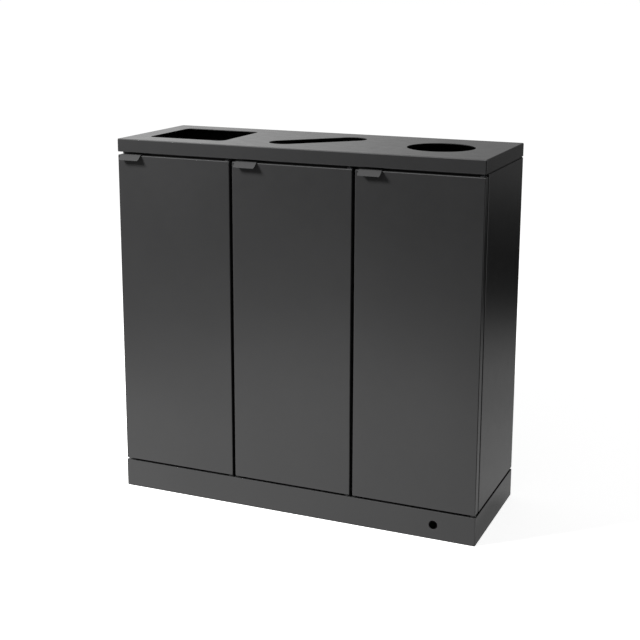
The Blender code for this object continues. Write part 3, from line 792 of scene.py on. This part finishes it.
def length2(nt, a, b):
    return math_node(nt, "SQRT", math_node(nt, "ADD", math_node(nt, "MULTIPLY", a, a), math_node(nt, "MULTIPLY", b, b)), 0)


def emission(nt, strength):
    e = nt.nodes.new("ShaderNodeEmission")
    e.inputs["Color"].default_value = (1, 1, 1, 1)
    if isinstance(strength, (int, float)):
        e.inputs["Strength"].default_value = strength
    else:
        nt.links.new(strength, e.inputs["Strength"])
    return e.outputs[0]


def backdrop(nt, strength):
    e = nt.nodes.new("ShaderNodeBackground")
    e.inputs["Color"].default_value = (1, 1, 1, 1)
    if isinstance(strength, (int, float)):
        e.inputs["Strength"].default_value = strength
    else:
        nt.links.new(strength, e.inputs["Strength"])
    return e.outputs[0]


def choose(nt, seen, mirrored, otherwise):
    """One surface for the eye, one for mirrored rays, one for all the rest."""
    path = nt.nodes.new("ShaderNodeLightPath")
    a = nt.nodes.new("ShaderNodeMixShader")
    nt.links.new(path.outputs["Is Glossy Ray"], a.inputs[0])
    nt.links.new(otherwise, a.inputs[1])
    nt.links.new(mirrored, a.inputs[2])
    b = nt.nodes.new("ShaderNodeMixShader")
    nt.links.new(path.outputs["Is Camera Ray"], b.inputs[0])
    nt.links.new(a.outputs[0], b.inputs[1])
    nt.links.new(seen, b.inputs[2])
    return b.outputs[0]


AMBIENT = 0.25

# the floor: pale to the eye, and for mirrored rays a pool of light that fades with distance
fm = bpy.data.materials.new("studio_floor_pale")
fm.use_nodes = True
nt = fm.node_tree
nt.nodes.clear()
out = nt.nodes.new("ShaderNodeOutputMaterial")
X, Y, Z = sep(nt, coords(nt))
dirx = math_node(nt, "DIVIDE", X, math_node(nt, "MAXIMUM", length2(nt, X, Y), 0.001))
s = math_node(nt, "SUBTRACT", FRONT, Y)
phi = math_node(nt, "DIVIDE", math_node(nt, "SUBTRACT", X, 1.17), math_node(nt, "SUBTRACT", Y, 2.438))
lft = curve(nt, s, 0.0, 6.0, [(0.0, 1.92), (0.40, 1.88), (0.545, 1.78), (0.706, 1.60), (0.885, 1.36), (1.087, 1.15),
                              (1.31, 0.92), (1.56, 0.70), (2.2, 0.57), (6.0, 0.50)])
rgt = curve(nt, s, 0.0, 6.0, [(0.0, 1.45), (0.5, 1.42), (0.733, 1.36), (0.895, 1.27), (1.27, 1.00), (1.73, 0.66),
                              (2.32, 0.44), (3.1, 0.27), (4.17, 0.13), (6.0, 0.08)])
fall_l = curve(nt, s, 0.0, 6.0, [(0.0, 0.87), (0.46, 0.844), (0.95, 0.785), (1.62, 0.62), (2.6, 0.40), (3.57, 0.27), (4.75, 0.20),
                                 (6.0, 0.15)], 1.0)
fall_r = curve(nt, s, 0.0, 6.0, [(0.0, 0.87), (0.46, 0.86), (0.95, 0.825), (1.62, 0.76), (2.6, 0.59), (3.57, 0.41), (4.75, 0.23),
                                 (6.0, 0.15)], 1.0)
lft, rgt = math_node(nt, "MULTIPLY", lft, fall_l), math_node(nt, "MULTIPLY", rgt, fall_r)
front_l = blend(nt, mrange(nt, phi, 0.28, 0.62, 0.0, 1.0), rgt, lft)
middle = math_node(nt, "MULTIPLY", curve(nt, s, 0.0, 6.0, [(0.0, 0.0), (0.4, 0.04), (0.6, 0.17), (0.76, 0.30), (0.94, 0.40),
                                                           (1.13, 0.49), (1.34, 0.50), (1.6, 0.47), (2.16, 0.38),
                                                           (3.2, 0.27), (4.0, 0.20), (6.0, 0.12)]),
                   curve(nt, phi, 0.0, 1.0, [(0.20, 0.15), (0.28, 0.35), (0.32, 0.65), (0.37, 0.85), (0.45, 1.0),
                                             (0.51, 0.65), (0.57, 0.30), (0.64, 0.0)]))
front_l = math_node(nt, "ADD", front_l, math_node(nt, "MULTIPLY", middle, fall_r))
front_l = math_node(nt, "MULTIPLY", front_l, mrange(nt, phi, 0.10, 0.26, 0.06, 1.0))
front_l = blend(nt, mrange(nt, s, 5.0, 9.0, 0.0, 1.0), front_l, curve(nt, dirx, -1.0, 1.0, AHEAD))
rr = length2(nt, math_node(nt, "SUBTRACT", X, 0.3), Y)
back_l = curve(nt, rr, 0.0, 6.0, [(0.0, 0.40), (0.33, 0.395), (0.65, 0.36), (0.98, 0.295), (1.20, 0.28), (1.42, 0.23),
                                  (1.68, 0.165), (1.99, 0.075), (2.37, 0.025), (3.0, 0.01), (4.2, 0.03), (6.0, 0.10)])
open_l = curve(nt, rr, 0.0, 6.0, [(0.0, 1.20), (1.0, 1.05), (2.5, 0.70), (6.0, 0.75)])
sx, sy = math_node(nt, "SUBTRACT", X, HALF), math_node(nt, "SUBTRACT", Y, FRONT - 0.006)
away = math_node(nt, "DIVIDE", sx, math_node(nt, "MAXIMUM", length2(nt, sx, sy), 0.001))
back_l = blend(nt, mrange(nt, away, 0.48, 0.74, 0.0, 1.0), back_l, open_l)
back_l = blend(nt, mrange(nt, away, 0.02, -0.30, 0.0, 1.0), back_l, open_l)
# painted shade: the strip the plinth's right side mirrors is dimmer towards the front, a contact shade painted into the
# floor's glow
strip = math_node(nt, "MULTIPLY", curve(nt, sx, -0.01, 0.06, [(-0.004, 0.0), (0.0, 1.0), (0.041, 1.0), (0.046, 0.0)]),
                  mrange(nt, Y, 0.095, 0.195, 1.0, 0.0))
back_l = math_node(nt, "MULTIPLY", back_l, math_node(nt, "SUBTRACT", 1.0, math_node(nt, "MULTIPLY", 0.38, strip)))
wb = mrange(nt, Y, FRONT - 0.012, FRONT + 0.004, 0.0, 1.0)
pale = nt.nodes.new("ShaderNodeAddShader")
diff = nt.nodes.new("ShaderNodeBsdfDiffuse")
diff.inputs["Color"].default_value = (0.86, 0.86, 0.86, 1)
nt.links.new(diff.outputs[0], pale.inputs[0])
# no lift under the plinth
ax, ay = math_node(nt, "ABSOLUTE", X, 0), math_node(nt, "ABSOLUTE", math_node(nt, "SUBTRACT", Y, MID_Y), 0)
inside = math_node(nt, "MULTIPLY", math_node(nt, "LESS_THAN", ax, HALF - 0.001),
                   math_node(nt, "LESS_THAN", ay, (BACK - FRONT) / 2 - 0.001))
lift = math_node(nt, "MULTIPLY", 0.80, math_node(nt, "SUBTRACT", 1.0, inside))
nt.links.new(emission(nt, lift), pale.inputs[1])
outside = math_node(nt, "SUBTRACT", 1.0, inside)
glow = math_node(nt, "MULTIPLY", blend(nt, wb, front_l, back_l), outside)
rest_l = math_node(nt, "MULTIPLY", AMBIENT, outside)
nt.links.new(choose(nt, pale.outputs[0], emission(nt, glow), emission(nt, rest_l)), out.inputs["Surface"])
floor.data.materials.append(fm)

world = bpy.data.worlds.new("studio")
scene.world = world
world.use_nodes = True
nt = world.node_tree
nt.nodes.clear()
out = nt.nodes.new("ShaderNodeOutputWorld")
tc = nt.nodes.new("ShaderNodeTexCoord")
X, Y, Z = sep(nt, tc.outputs["Generated"])
dirx = math_node(nt, "DIVIDE", X, math_node(nt, "MAXIMUM", length2(nt, X, Y), 0.001))
low = surround(nt, dirx, mrange(nt, Y, -0.1, 0.1, 0.0, 1.0))
start = mrange(nt, Y, -0.4, 0.4, 0.36, 0.56)                      # the overhead softbox comes lower in front
over = mrange(nt, math_node(nt, "SUBTRACT", Z, start), 0.0, 0.16, 0.0, 1.0)
top = mrange(nt, Y, -0.45, -0.05, 3.2, 1.05)                       # and brightest there
shade = blend(nt, over, low, top)
nt.links.new(choose(nt, backdrop(nt, 1.0), backdrop(nt, shade), backdrop(nt, AMBIENT)), out.inputs["Surface"])

key = bpy.data.lights.new("softbox", "AREA")
key.shape = "DISK"
key.size = 0.70
key.energy = 150.0
key_ob = bpy.data.objects.new("softbox", key)
scene.collection.objects.link(key_ob)
kp = Vector((-1.45, -1.45, 2.05))
key_ob.location = kp
key_ob.visible_glossy = False
key_ob.rotation_euler = (Vector((0.0, FRONT, 0.55)) - kp).to_track_quat("-Z", "Y").to_euler()

scene.view_settings.view_transform = "Standard"
scene.view_settings.look = "None"

# ------------------------------------------------------------------ camera
cam_data = bpy.data.cameras.new("camera")
cam = bpy.data.objects.new("camera", cam_data)
scene.collection.objects.link(cam)
scene.camera = cam
CAM = dict(f=1243.18, pos=(1.17076, -2.75210, 1.26700), yaw=22.904, pitch=12.137, roll=0.2035, sy=-0.105)
cam_data.lens = CAM["f"] / 640 * 36
cam_data.sensor_width = 36
cam_data.shift_y = CAM["sy"]
yaw, pitch, roll = (math.radians(CAM[k]) for k in ("yaw", "pitch", "roll"))
fwd = Vector((-math.sin(yaw) * math.cos(pitch), math.cos(yaw) * math.cos(pitch), -math.sin(pitch)))
right = Vector((math.cos(yaw), math.sin(yaw), 0))
up = right.cross(fwd)
r2 = right * math.cos(roll) + up * math.sin(roll)
u2 = up * math.cos(roll) - right * math.sin(roll)
cam.matrix_world = Matrix(((r2.x, u2.x, -fwd.x, CAM["pos"][0]), (r2.y, u2.y, -fwd.y, CAM["pos"][1]),
                           (r2.z, u2.z, -fwd.z, CAM["pos"][2]), (0, 0, 0, 1)))
